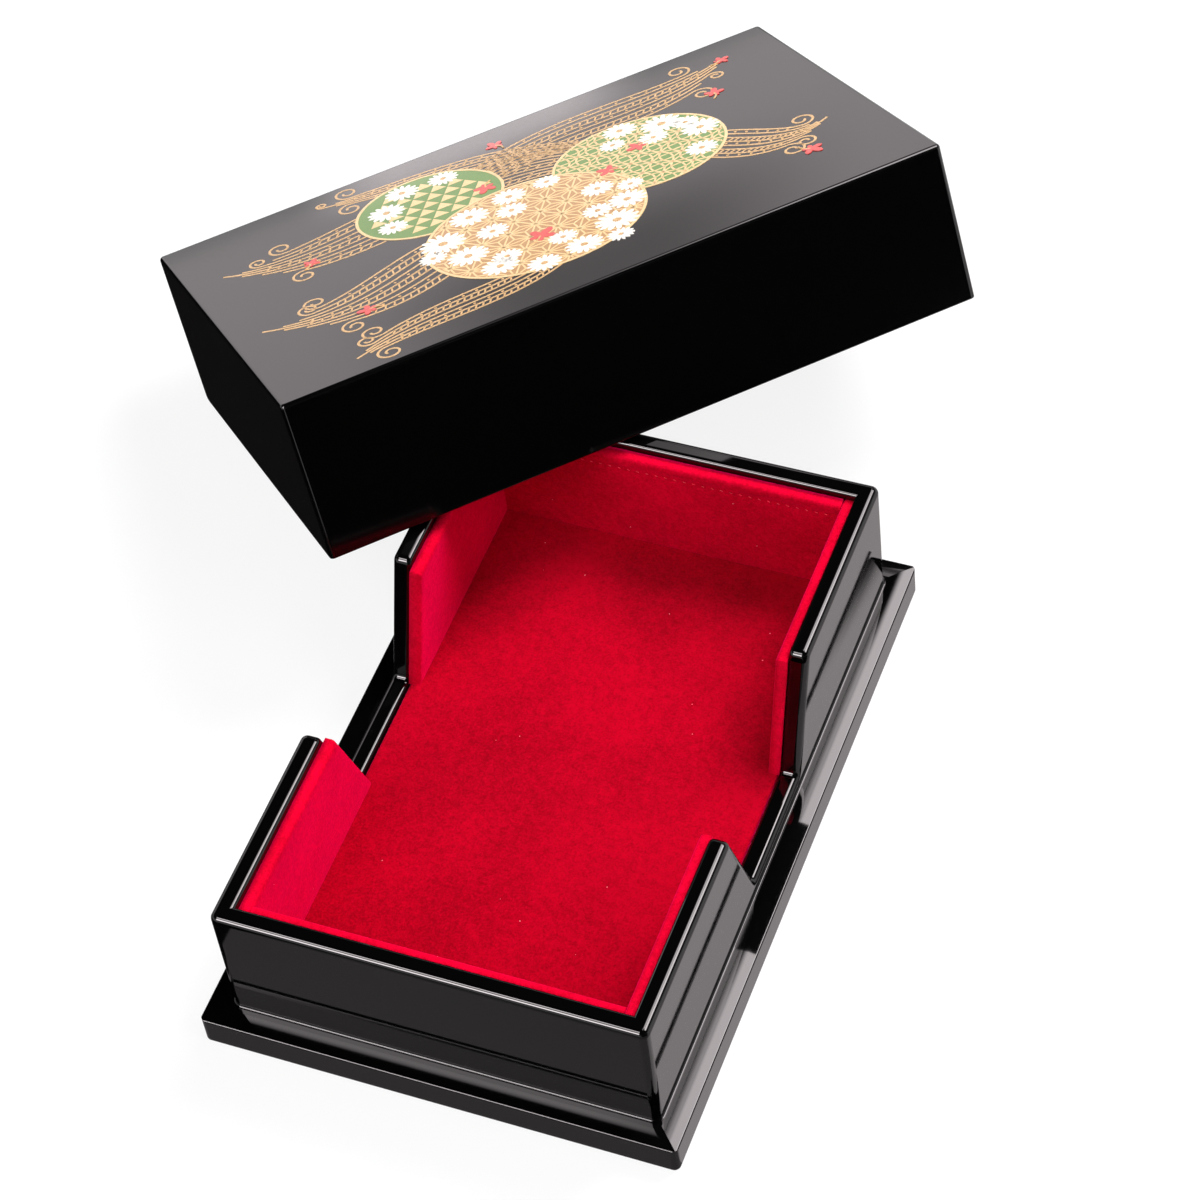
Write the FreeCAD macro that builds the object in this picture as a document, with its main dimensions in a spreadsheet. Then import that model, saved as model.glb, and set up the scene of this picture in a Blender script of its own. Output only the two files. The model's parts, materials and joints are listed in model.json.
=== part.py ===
import FreeCAD, Part
import math
import os

import Sketcher

# A lacquered jewelry box: a velvet-lined tray on a moulded plinth, and a deep lift-off lid that leans
# on the tray's rear left corner. Millimetres. The origin is the middle of the plinth's underside, the
# length runs along Y with the front end at -Y, and +Z is up.

# Driving dimensions: alias, value, what it is
DIMENSIONS = [
    ("tray_length", 201, "outside length of the tray walls"),
    ("tray_width", 130, "outside width of the tray walls"),
    ("wall_thick", 6, "thickness of a tray wall"),
    ("wall_height", 44, "height of a tray wall above the plinth"),
    ("wall_corner_round", 2.5, "radius of the tray's upright outer corners"),
    ("wall_outer_round", 2, "radius along the outer top edge of a tray wall"),
    ("wall_inner_round", 1.5, "radius along the inner top edge of a tray wall"),
    ("rail_height", 4, "height of the wall left below the finger notch"),
    ("notch_foot", 38.8, "length of the finger notch along its rail"),
    ("notch_mouth", 67.6, "length of the finger notch at the wall top"),
    ("notch_mouth_round", 2.5, "radius of the notch's upper corners"),
    ("notch_foot_round", 2, "radius of the notch's lower corners"),
    ("plinth_thick", 11, "thickness of the plinth"),
    ("plinth_ledge", 7.5, "reach of the plinth outside the tray walls"),
    ("plinth_reach", 3, "reach of the plinth mouldings in under the tray walls"),
    ("plinth_corner_round", 2, "radius of the plinth's upright corners"),
    ("plinth_crown_fall", 0.1, "fall of the plinth's top from the bead to the middle of the ledge"),
    ("plinth_rim_fall", 0.55, "fall of the plinth's top from the bead to its outer edge"),
    ("plinth_crown_round", 40, "radius of the crown between the ledge's two slopes"),
    ("plinth_rim_round", 0.5, "radius along the plinth's outer top edge"),
    ("plinth_foot_round", 1, "radius along the plinth's outer bottom edge"),
    ("bead_reach", 0.8, "reach of the bead of lacquer round the foot of the tray walls"),
    ("bead_edge", 0.15, "height of the bead at its outer edge"),
    ("bead_round", 0.7, "hollow radius of the bead"),
    ("board_gap", 0.2, "gap round the base board"),
    ("card_thick", 1.5, "thickness of the card under the floor pad"),
    ("floor_thick", 2, "thickness of the velvet floor pad"),
    ("floor_gap", 0.4, "gap round the floor pad"),
    ("floor_round", 0.8, "radius along the floor pad's top edge"),
    ("lining_thick", 3.6, "thickness of a wall pad with its velvet"),
    ("velvet_wrap", 1.2, "thickness of the velvet over a wall pad's board"),
    ("lining_recess", 2.8, "step from the wall top down to the top of a wall pad"),
    ("lining_proud", 0.7, "reach of a side pad past the slanted end of its wall"),
    ("lining_round", 1, "radius along a wall pad's front edges"),
    ("lid_gap", 0.8, "gap between the tray walls and the closed lid"),
    ("lid_wall", 6.2, "thickness of a lid wall"),
    ("lid_headroom", 3.2, "space above the tray walls in the closed lid"),
    ("lid_panel", 5, "thickness of the lid's top panel"),
    ("lid_corner_round", 1.5, "radius of the lid's upright corners"),
    ("lid_top_round", 1.2, "radius along the lid's top edges"),
    ("lid_rim_round", 0.4, "radius along the lid's rim"),
    ("lean_turn", -44.73, "turn of the leaning lid seen from above, degrees"),
    ("lean_reach", 41.7, "level distance from the tray's corner to the lid's near wall face"),
    ("lean_slide", 43.1, "distance from the tray's corner to the middle of the lid, along the lid"),
    ("lean_gap", 0.3, "gap between the tray walls and the lid that rests on them"),
    ("saw_margin", 10, "reach of the sawing blocks past what they cut"),
]

doc = FreeCAD.newDocument("lacquered_jewelry_box")
dims = doc.addObject("Spreadsheet::Sheet", "dims")
for row, (alias, value, meaning) in enumerate(DIMENSIONS, start=1):
    dims.set("A%d" % row, meaning)
    dims.set("B%d" % row, str(value))
    dims.setAlias("B%d" % row, alias)
doc.recompute()

# Lengths that several pieces share
HALF_WIDTH = "(dims.tray_width / 2)"
HALF_LENGTH = "(dims.tray_length / 2)"
INNER_WIDTH = "(dims.tray_width / 2 - dims.wall_thick)"
INNER_LENGTH = "(dims.tray_length / 2 - dims.wall_thick)"
PLINTH_WIDTH = "(dims.tray_width / 2 + dims.plinth_ledge)"
PLINTH_LENGTH = "(dims.tray_length / 2 + dims.plinth_ledge)"
LID_WIDTH = "(dims.tray_width / 2 + dims.lid_gap + dims.lid_wall)"
LID_LENGTH = "(dims.tray_length / 2 + dims.lid_gap + dims.lid_wall)"

# Heights that several pieces share
WALL_TOP = "(dims.plinth_thick + dims.wall_height)"
RAIL_TOP = "(dims.plinth_thick + dims.rail_height)"
FLOOR_TOP = "(dims.plinth_thick + dims.card_thick + dims.floor_thick)"
PAD_TOP = "(dims.plinth_thick + dims.wall_height - dims.lining_recess)"
LID_HOLLOW = "(dims.wall_height + dims.lid_headroom)"

# How far an edge may lie from the place where it is looked for
NEAR = 0.01

SIDES = {"front": 0, "right": 1, "back": 2, "left": 3}
pieces = []


def size(expression):
    """The value that an expression has now."""
    return float(dims.evalExpression(expression))


def new_body(name):
    return doc.addObject("PartDesign::Body", name)


def finish(piece, name):
    piece.Label = name
    pieces.append(piece)


def turned(quarter_turns):
    return FreeCAD.Rotation(FreeCAD.Vector(0, 0, 1), 90 * quarter_turns)


def outline(body, name, role, corners, offset=None):
    """A closed outline of straight lines. A corner is a pair of expressions, and offset lifts the plane."""
    sketch = body.newObject("Sketcher::SketchObject", name)
    plane = next(part for part in body.Origin.OriginFeatures if part.Role == role)
    sketch.AttachmentSupport = [(plane, "")]
    sketch.MapMode = "FlatFace"
    if offset:
        sketch.setExpression("AttachmentOffset.Base.z", offset)
    count = len(corners)
    start = [FreeCAD.Vector(math.cos(2 * math.pi * i / count), math.sin(2 * math.pi * i / count), 0)
             for i in range(count)]
    for i in range(count):
        sketch.addGeometry(Part.LineSegment(start[i], start[(i + 1) % count]))
    for i in range(count):
        sketch.addConstraint(Sketcher.Constraint("Coincident", i, 2, (i + 1) % count, 1))
    for i, (across, up) in enumerate(corners):
        for direction, expression in (("DistanceX", across), ("DistanceY", up)):
            if expression == "0":
                sketch.addConstraint(Sketcher.Constraint("PointOnObject", i, 1, -1))
            else:
                number = sketch.addConstraint(Sketcher.Constraint(direction, -1, 1, i, 1, 1.0))
                sketch.setExpression("Constraints[%d]" % number, expression)
    return sketch


def rectangle(half_across, half_up):
    return [("-" + half_across, "-" + half_up), (half_across, "-" + half_up),
            (half_across, half_up), ("-" + half_across, half_up)]


def pad(body, name, sketch, length, both_ways=False, reverse=False):
    feature = body.newObject("PartDesign::Pad", name)
    feature.Profile = sketch
    feature.setExpression("Length", length)
    feature.Reversed = reverse
    if both_ways:
        feature.SideType = "Symmetric"
    doc.recompute()


def pocket(body, name, sketch, length, both_ways=False):
    """A pocket against the sketch's direction, or both ways, that has to take material away."""
    before = body.Shape.Volume
    feature = body.newObject("PartDesign::Pocket", name)
    feature.Profile = sketch
    feature.setExpression("Length", length)
    if both_ways:
        feature.SideType = "Symmetric"
    doc.recompute()
    if not body.Shape.Volume < before:
        raise RuntimeError(name + " cuts nothing")


def fillet(body, name, radius, wanted):
    """Round the edges that the test named wanted picks out, and all that runs on smoothly from them."""
    base = body.Tip
    edges = ["Edge%d" % (i + 1) for i, edge in enumerate(base.Shape.Edges) if wanted(edge)]
    if not edges:
        raise RuntimeError(name + " finds no edge")
    feature = body.newObject("PartDesign::Fillet", name)
    feature.Base = (base, edges)
    feature.setExpression("Radius", radius)
    doc.recompute()


def runs_along(edge, axis):
    """Whether an edge is a straight one along X, Y or Z."""
    box = edge.BoundBox
    spans = {"X": box.XLength, "Y": box.YLength, "Z": box.ZLength}
    return spans.pop(axis) > NEAR and max(spans.values()) < NEAR


def lies_at(edge, x=None, y=None, z=None):
    """Whether an edge's middle is that far from the middle planes, and at that height."""
    middle = edge.BoundBox.Center
    gaps = [abs(abs(middle.x) - size(x)) if x else 0,
            abs(abs(middle.y) - size(y)) if y else 0,
            abs(middle.z - size(z)) if z else 0]
    return max(gaps) < NEAR


def common(name, base, tool):
    piece = doc.addObject("Part::Common", name)
    piece.Base = base
    piece.Tool = tool
    return piece


def mitre_block(side, half_across, half_along):
    """A block with 45 degree ends that saws one side out of a frame: of the plinth, the tray or the lid."""
    block = doc.addObject("Part::Wedge", "mitre_" + side)
    depth = "(2 * dims.saw_margin + dims.plinth_ledge + dims.wall_thick + dims.lid_wall)"
    across = "(%s + dims.saw_margin)" % half_across
    along = "(%s + dims.saw_margin)" % half_along
    block.setExpression("Xmin", "-" + across)
    block.setExpression("Xmax", across)
    block.setExpression("Ymin", "-" + along)
    block.setExpression("Ymax", "%s - %s" % (depth, along))
    block.setExpression("X2min", "%s - %s" % (depth, across))
    block.setExpression("X2max", "%s - %s" % (across, depth))
    for low in ("Zmin", "Z2min"):
        block.setExpression(low, "-dims.saw_margin")
    for high in ("Zmax", "Z2max"):
        block.setExpression(high, WALL_TOP + " + dims.lid_headroom + dims.saw_margin")
    block.Placement.Rotation = turned(SIDES[side])
    return block


# The mitres run out from the tray's corners at 45 degrees, so one set of blocks suits every frame
mitres = {}
for side in SIDES:
    if side in ("front", "back"):
        mitres[side] = mitre_block(side, HALF_WIDTH, HALF_LENGTH)
    else:
        mitres[side] = mitre_block(side, HALF_LENGTH, HALF_WIDTH)
doc.recompute()


# Plinth: a rounded blank gives the upright corners and the foot, and each moulding is a bar of one
# section, sawn at its mitres and taken out of the blank
def plinth_outline():
    blank = new_body("plinth_blank")
    plan = outline(blank, "plinth_plan", "XY_Plane", rectangle(PLINTH_WIDTH, PLINTH_LENGTH))
    pad(blank, "plinth_pad", plan, "dims.plinth_thick")
    fillet(blank, "plinth_corners", "dims.plinth_corner_round", lambda edge: runs_along(edge, "Z"))
    fillet(blank, "plinth_foot", "dims.plinth_foot_round",
           lambda edge: runs_along(edge, "X") and edge.BoundBox.Center.y < 0
           and edge.BoundBox.Center.z < NEAR)
    return blank


def moulding_bar(side, half_across, half_along):
    """A bar drawn at the front end, its top crowned and falling outwards, and turned to its own side."""
    bar = new_body("bar_" + side)
    outside = "%s + dims.plinth_ledge" % half_along
    crown = "%s + (dims.bead_reach + dims.plinth_ledge) / 2" % half_along
    crown_height = "dims.plinth_thick - dims.plinth_crown_fall"
    rim_height = "dims.plinth_thick - dims.plinth_rim_fall"
    section = outline(bar, "section_" + side, "YZ_Plane", [
        ("-(%s)" % outside, "0"),
        ("-(%s - dims.plinth_reach)" % half_along, "0"),
        ("-(%s - dims.plinth_reach)" % half_along, "dims.plinth_thick"),
        ("-(%s + dims.bead_reach)" % half_along, "dims.plinth_thick"),
        ("-(%s)" % crown, crown_height),
        ("-(%s)" % outside, rim_height),
    ])
    pad(bar, "bar_pad_" + side, section, "2 * (%s + dims.plinth_ledge)" % half_across, both_ways=True)
    fillet(bar, "crown_" + side, "dims.plinth_crown_round",
           lambda edge: runs_along(edge, "X") and lies_at(edge, y=crown, z=crown_height))
    fillet(bar, "rim_" + side, "dims.plinth_rim_round",
           lambda edge: runs_along(edge, "X") and lies_at(edge, y=outside, z=rim_height))
    bar.Placement.Rotation = turned(SIDES[side])
    return bar


plinth_blank = plinth_outline()
for side in SIDES:
    if side in ("front", "back"):
        bar = moulding_bar(side, HALF_WIDTH, HALF_LENGTH)
    else:
        bar = moulding_bar(side, HALF_LENGTH, HALF_WIDTH)
    sawn = common("sawn_bar_" + side, bar, mitres[side])
    finish(common("moulding_" + side, sawn, plinth_blank), "plinth_moulding_" + side)


def slab(name, half_across, half_along, bottom, thick):
    """A flat board, card or pad with square edges."""
    body = new_body(name)
    plan = outline(body, name + "_plan", "XY_Plane", rectangle(half_across, half_along), offset=bottom)
    pad(body, name + "_pad", plan, thick)
    finish(body, name)
    return body


# Base board: fills the plinth between its mouldings
slab("base_board",
     "(%s - dims.plinth_reach - dims.board_gap)" % HALF_WIDTH,
     "(%s - dims.plinth_reach - dims.board_gap)" % HALF_LENGTH,
     None, "dims.plinth_thick")


# Tray walls: one ring with its notches, its rounded edges and the bead of lacquer round its foot, sawn at
# the mitres
def tray_ring():
    ring = new_body("tray_ring")
    plan = outline(ring, "tray_plan", "XY_Plane", rectangle(HALF_WIDTH, HALF_LENGTH),
                   offset="dims.plinth_thick")
    pad(ring, "tray_pad", plan, "dims.wall_height")
    bead_plan = outline(ring, "bead_plan", "XY_Plane", rectangle(
        "(%s + dims.bead_reach)" % HALF_WIDTH, "(%s + dims.bead_reach)" % HALF_LENGTH),
        offset="dims.plinth_thick")
    pad(ring, "bead_pad", bead_plan, "dims.bead_edge")
    hollow = outline(ring, "tray_hollow", "XY_Plane", rectangle(INNER_WIDTH, INNER_LENGTH),
                     offset=WALL_TOP)
    pocket(ring, "tray_hollow_cut", hollow, "dims.wall_height")
    notch = outline(ring, "notch_outline", "YZ_Plane", [
        ("-dims.notch_foot / 2", RAIL_TOP),
        ("dims.notch_foot / 2", RAIL_TOP),
        ("dims.notch_mouth / 2", WALL_TOP),
        ("-dims.notch_mouth / 2", WALL_TOP),
    ])
    pocket(ring, "notch_cut", notch, "dims.tray_width + dims.saw_margin", both_ways=True)
    fillet(ring, "tray_corners", "dims.wall_corner_round",
           lambda edge: runs_along(edge, "Z") and lies_at(edge, x=HALF_WIDTH, y=HALF_LENGTH))
    fillet(ring, "bead_corners", "dims.wall_corner_round + dims.bead_reach",
           lambda edge: runs_along(edge, "Z") and lies_at(
               edge, x=HALF_WIDTH + " + dims.bead_reach", y=HALF_LENGTH + " + dims.bead_reach"))
    fillet(ring, "bead_hollow", "dims.bead_round",
           lambda edge: runs_along(edge, "X") and edge.BoundBox.Center.y < 0
           and lies_at(edge, y=HALF_LENGTH, z="dims.plinth_thick + dims.bead_edge"))
    fillet(ring, "notch_mouth_corners", "dims.notch_mouth_round",
           lambda edge: runs_along(edge, "X") and lies_at(edge, y="dims.notch_mouth / 2", z=WALL_TOP))
    fillet(ring, "notch_foot_corners", "dims.notch_foot_round",
           lambda edge: runs_along(edge, "X") and lies_at(edge, y="dims.notch_foot / 2", z=RAIL_TOP))
    fillet(ring, "tray_outer_edge", "dims.wall_outer_round",
           lambda edge: runs_along(edge, "X") and lies_at(edge, y=HALF_LENGTH, z=WALL_TOP)
           and edge.BoundBox.Center.y < 0)
    fillet(ring, "tray_inner_end_edges", "dims.wall_inner_round",
           lambda edge: runs_along(edge, "X") and lies_at(edge, y=INNER_LENGTH, z=WALL_TOP))
    fillet(ring, "tray_inner_side_edges", "dims.wall_inner_round",
           lambda edge: runs_along(edge, "Y") and lies_at(edge, x=INNER_WIDTH, z=WALL_TOP)
           and edge.BoundBox.Center.y < 0)
    return ring


ring = tray_ring()
for side in SIDES:
    finish(common("tray_side_" + side, ring, mitres[side]), "tray_wall_" + side)


# Floor pad: a card with a velvet pad on it
floor_width = "(%s - dims.floor_gap)" % INNER_WIDTH
floor_length = "(%s - dims.floor_gap)" % INNER_LENGTH
slab("floor_card", floor_width, floor_length, "dims.plinth_thick", "dims.card_thick")
floor_velvet = slab("floor_velvet", floor_width, floor_length,
                    "dims.plinth_thick + dims.card_thick", "dims.floor_thick")
fillet(floor_velvet, "floor_velvet_edge", "dims.floor_round", lambda edge: lies_at(edge, z=FLOOR_TOP))


# Wall pads: a board wrapped in velvet over its front, its top and its free end. They stand on the
# floor pad against the tray walls, and the end pads fit between the side pads.
def wall_pad(name, role, offset, reverse, cover_corners, board_corners, soft_edge):
    """The board and its velvet cover, drawn on the tray wall's inner face and grown inwards."""
    board = new_body("board_" + name)
    board_face = outline(board, "board_face_" + name, role, board_corners, offset=offset)
    pad(board, "board_pad_" + name, board_face, "dims.lining_thick - dims.velvet_wrap", reverse=reverse)
    cover = new_body("cover_" + name)
    cover_face = outline(cover, "cover_face_" + name, role, cover_corners, offset=offset)
    pad(cover, "cover_pad_" + name, cover_face, "dims.lining_thick", reverse=reverse)
    fillet(cover, "cover_round_" + name, "dims.lining_round", soft_edge)
    velvet = doc.addObject("Part::Cut", "velvet_" + name)
    velvet.Base = cover
    velvet.Tool = board
    finish(board, "lining_board_" + name)
    finish(velvet, "lining_velvet_" + name)


def end_pad(name, sign, reverse):
    half = "(%s - dims.lining_thick)" % INNER_WIDTH
    front_face = "%s - dims.lining_thick" % INNER_LENGTH

    def corners(top):
        return [("-" + half, FLOOR_TOP), (half, FLOOR_TOP), (half, top), ("-" + half, top)]

    wall_pad(name, "XZ_Plane", sign + INNER_LENGTH, reverse,
             corners(PAD_TOP), corners(PAD_TOP + " - dims.velvet_wrap"),
             lambda edge: runs_along(edge, "X") and lies_at(edge, y=front_face, z=PAD_TOP))


def side_pad(name, side_sign, reverse, end_sign):
    slope = "((dims.notch_mouth - dims.notch_foot) / 2 / (dims.wall_height - dims.rail_height))"
    front_face = "%s - dims.lining_thick" % INNER_WIDTH

    def slanted_end(height, wrap):
        """Distance from the middle of the tray to the pad's free end, which follows the notch."""
        at_wall = "dims.notch_foot / 2 + (%s - %s) * %s" % (height, RAIL_TOP, slope)
        return "(%s + (%s - dims.lining_proud) * sqrt(1 + %s ^ 2))" % (at_wall, wrap, slope)

    def corners(top, wrap):
        return [(end_sign + INNER_LENGTH, FLOOR_TOP),
                (end_sign + slanted_end(FLOOR_TOP, wrap), FLOOR_TOP),
                (end_sign + slanted_end(top, wrap), top),
                (end_sign + INNER_LENGTH, top)]

    def is_soft(edge):
        middle = edge.BoundBox.Center
        on_front = lies_at(edge, x=front_face) and middle.z > size(FLOOR_TOP) + NEAR
        at_end_wall = abs(abs(middle.y) - size(INNER_LENGTH)) < NEAR
        shoulder = runs_along(edge, "X") and lies_at(edge, y=slanted_end(PAD_TOP, "0"), z=PAD_TOP)
        return (on_front and not at_end_wall) or shoulder

    wall_pad(name, "YZ_Plane", side_sign + INNER_WIDTH, reverse,
             corners(PAD_TOP, "0"), corners(PAD_TOP + " - dims.velvet_wrap", "dims.velvet_wrap"), is_soft)


end_pad("front", "", True)
end_pad("back", "-", False)
for side, side_sign, reverse in (("left", "-", False), ("right", "", True)):
    for end, end_sign in (("front", "-"), ("back", "")):
        side_pad("%s_%s" % (side, end), side_sign, reverse, end_sign)


# Lid: four mitred walls under a top panel, drawn upright with the rim's middle at the origin
def lid_frame():
    frame = new_body("lid_frame")
    plan = outline(frame, "lid_plan", "XY_Plane", rectangle(LID_WIDTH, LID_LENGTH))
    pad(frame, "lid_pad", plan, LID_HOLLOW)
    hollow = outline(frame, "lid_hollow", "XY_Plane",
                     rectangle("(%s - dims.lid_wall)" % LID_WIDTH, "(%s - dims.lid_wall)" % LID_LENGTH),
                     offset=LID_HOLLOW)
    pocket(frame, "lid_hollow_cut", hollow, LID_HOLLOW)
    fillet(frame, "lid_corners", "dims.lid_corner_round",
           lambda edge: runs_along(edge, "Z") and lies_at(edge, x=LID_WIDTH, y=LID_LENGTH))
    fillet(frame, "lid_rim_edges", "dims.lid_rim_round",
           lambda edge: edge.BoundBox.ZLength < NEAR and edge.BoundBox.Center.z < NEAR)
    return frame


def lid_top():
    panel = new_body("lid_top_panel")
    plan = outline(panel, "lid_panel_plan", "XY_Plane", rectangle(LID_WIDTH, LID_LENGTH),
                   offset=LID_HOLLOW)
    pad(panel, "lid_panel_pad", plan, "dims.lid_panel")
    fillet(panel, "lid_panel_corners", "dims.lid_corner_round", lambda edge: runs_along(edge, "Z"))
    fillet(panel, "lid_panel_edge", "dims.lid_top_round",
           lambda edge: runs_along(edge, "X") and edge.BoundBox.Center.y < 0
           and lies_at(edge, z=LID_HOLLOW + " + dims.lid_panel"))
    return panel


# The leaning lid: the far side's rim stands on the ground, and the inner edge of the near side's rim
# lies across the tops of two tray walls. Its tilt follows from that height and from the lid's width.
TILT = "asin((%s + dims.lean_gap) / (2 * %s - dims.lid_wall))" % (WALL_TOP, LID_WIDTH)
LEVEL = "(dims.lean_reach - %s * cos(%s))" % (LID_WIDTH, TILT)
LEAN_X = "-%s + %s * cos(dims.lean_turn * 1deg) - dims.lean_slide * sin(dims.lean_turn * 1deg)" % (
    HALF_WIDTH, LEVEL)
LEAN_Y = "%s + %s * sin(dims.lean_turn * 1deg) + dims.lean_slide * cos(dims.lean_turn * 1deg)" % (
    HALF_LENGTH, LEVEL)
LEAN_Z = "dims.lid_rim_round + (%s - dims.lid_rim_round) * sin(%s) - dims.lid_rim_round * cos(%s)" % (
    LID_WIDTH, TILT, TILT)
LEAN = "create(<<placement>>; create(<<vector>>; %s; %s; %s); create(<<rotation>>; %s; %s; 0))" % (
    LEAN_X, LEAN_Y, LEAN_Z, "dims.lean_turn * 1deg", "-%s" % TILT)

lid_panel = lid_top()
lid_panel.setExpression("Placement", LEAN)
finish(lid_panel, "lid_top_panel")
frame = lid_frame()
for side in SIDES:
    wall = common("lid_side_" + side, frame, mitres[side])
    wall.setExpression("Placement", "lid_top_panel.Placement")
    finish(wall, "lid_wall_" + side)


# Every object has to have worked before anything is written
doc.recompute()
for item in doc.Objects:
    if "Invalid" in item.State or "Error" in item.State:
        raise RuntimeError("%s failed: %s" % (item.Label, item.State))
for piece in pieces:
    if piece.Shape.isNull() or not piece.Shape.isValid():
        raise RuntimeError(piece.Label + " has no valid shape")

os.makedirs("parts", exist_ok=True)
for piece in pieces:
    piece.Shape.exportStep(os.path.join("parts", piece.Label + ".step"))
    box = piece.Shape.optimalBoundingBox()
    print("%-28s solids %d volume %10.1f  x %7.2f %7.2f  y %7.2f %7.2f  z %6.2f %6.2f" % (
        piece.Label, len(piece.Shape.Solids), piece.Shape.Volume,
        box.XMin, box.XMax, box.YMin, box.YMax, box.ZMin, box.ZMax))
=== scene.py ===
import json
import math

import bmesh
import bpy
from mathutils import Matrix, Quaternion, Vector, noise
from mathutils.geometry import interpolate_bezier


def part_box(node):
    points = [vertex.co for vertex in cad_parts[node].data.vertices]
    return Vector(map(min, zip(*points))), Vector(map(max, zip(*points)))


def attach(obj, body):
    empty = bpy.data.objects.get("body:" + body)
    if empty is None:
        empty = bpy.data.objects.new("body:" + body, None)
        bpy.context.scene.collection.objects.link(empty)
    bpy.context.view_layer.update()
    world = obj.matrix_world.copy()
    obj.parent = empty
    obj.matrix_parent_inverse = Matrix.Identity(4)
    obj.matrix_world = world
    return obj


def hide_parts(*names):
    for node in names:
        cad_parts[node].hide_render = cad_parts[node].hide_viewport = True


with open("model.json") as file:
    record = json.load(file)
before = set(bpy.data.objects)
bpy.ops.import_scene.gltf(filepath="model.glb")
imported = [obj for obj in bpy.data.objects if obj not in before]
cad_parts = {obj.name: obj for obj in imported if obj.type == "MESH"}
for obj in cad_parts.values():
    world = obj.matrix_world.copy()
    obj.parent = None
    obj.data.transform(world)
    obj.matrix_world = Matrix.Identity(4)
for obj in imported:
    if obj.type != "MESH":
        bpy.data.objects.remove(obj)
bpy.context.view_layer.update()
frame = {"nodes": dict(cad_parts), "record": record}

# The looks of a black lacquered jewelry box: a velvet-lined tray on a moulded plinth, and a lid with a
# painted top. Lengths are in metres, and MM turns a size in millimetres into metres.
MM = 0.001

# Colours, as sRGB hex
LACQUER_BLACK = "#030303"
VELVET_DEEP = "#7C000F"
VELVET_CRIMSON = "#A4001A"
# The wall pads' two velvet colours are the floor velvet's painted brighter. This is painted light where
# the lamps catch the pile from the side. The thread takes the brighter crimson as its own red.
WALL_DEEP_PAINTED_LIT = "#AA001C"
BRIGHT_CRIMSON = "#D0002A"
THREAD_RED = "#C81432"
VELVET_SHEEN = "#FF0A64"
VELVET_LINT = "#F0A8A8"
GOLD_PAINT = "#D6AC74"
GOLD_DARK = "#A57C42"
GOLD_PALE = "#DCC08C"
TAN_PAINT = "#A67A44"
TAN_DARK = "#966A38"
WHITE_PAINT = "#E4E0DA"
WHITE_DARK = "#CFCAC0"
GREEN_PAINT = "#547A24"
GREEN_DARK = "#446A1C"
RED_PAINT = "#C93A34"
RED_DARK = "#A82A28"
BOARD_DARK = "#8E8271"
BOARD_PALE = "#B0A590"
STUDIO_WHITE = "#FFFFFF"
PAPER_WHITE = "#F4F4F4"
CARD_WHITE = "#FFF6F8"


def linear(hex_colour):
    """An sRGB hex colour as linear red, green, blue and alpha."""
    values = [int(hex_colour[i:i + 2], 16) / 255 for i in (1, 3, 5)]
    return [v / 12.92 if v <= 0.04045 else ((v + 0.055) / 1.055) ** 2.4 for v in values] + [1.0]


def add(tree, kind, settings=(), **links):
    """A shader node with its settings, its inputs given as sockets to link or as values. An input is
    called by its name with _ for each space, or by its number after one _."""
    made = tree.nodes.new(kind)
    for key, value in dict(settings).items():
        setattr(made, key, value)
    for name, value in links.items():
        numbered = name[0] == "_" and name[1:].isdigit()
        socket = made.inputs[int(name[1:]) if numbered else name.replace("_", " ")]
        if isinstance(value, bpy.types.NodeSocket):
            tree.links.new(value, socket)
        else:
            socket.default_value = value
    return made


def new_material(name):
    """An empty node material and its tree, with the output node ready."""
    material = bpy.data.materials.new(name)
    material.use_nodes = True
    material.node_tree.nodes.clear()
    return material, material.node_tree


def ramp(tree, factor, stops):
    """A colour ramp through (place, hex colour) stops."""
    made = add(tree, "ShaderNodeValToRGB", _0=factor)
    elements = made.color_ramp.elements
    while len(elements) < len(stops):
        elements.new(1.0)
    for element, (place, colour) in zip(elements, stops):
        element.position = place
        element.color = linear(colour)
    return made.outputs["Color"]


def close(tree, shader):
    """Give a material its finished shader."""
    add(tree, "ShaderNodeOutputMaterial", Surface=shader)


def lacquer():
    """Black lacquer, sprayed and polished: near-black, mirror-smooth, with a faint orange peel of about
    6 mm and the dust of polishing, which gives the eye slightly soft, slightly wavy reflections."""
    material, tree = new_material("polished_black_lacquer")
    place = add(tree, "ShaderNodeTexCoord").outputs["Object"]
    peel = add(tree, "ShaderNodeTexNoise", Vector=place, Scale=1 / (6 * MM), Detail=1.0)
    haze = add(tree, "ShaderNodeTexNoise", Vector=place, Scale=1 / (1.5 * MM), Detail=3.0)
    rough = add(tree, "ShaderNodeMapRange", Value=haze.outputs["Fac"], To_Min=0.03, To_Max=0.07)
    bump = add(tree, "ShaderNodeBump", Height=peel.outputs["Fac"], Strength=0.05, Distance=0.02 * MM)
    shader = add(tree, "ShaderNodeBsdfPrincipled", Base_Color=linear(LACQUER_BLACK), IOR=1.5,
                 Roughness=rough.outputs["Result"], Normal=bump.outputs["Normal"])
    close(tree, shader.outputs["BSDF"])
    return material


# The velvet's shade is the sum of its clouds, its tufts and the share of its pile, between two levels. A
# speck of lint has its radius in cells of 7 mm.
PILE_SHARE = 1.8
NAP_DARKEST = 1.4
NAP_BRIGHTEST = 2.4
LINT_RADIUS = 0.02


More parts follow.
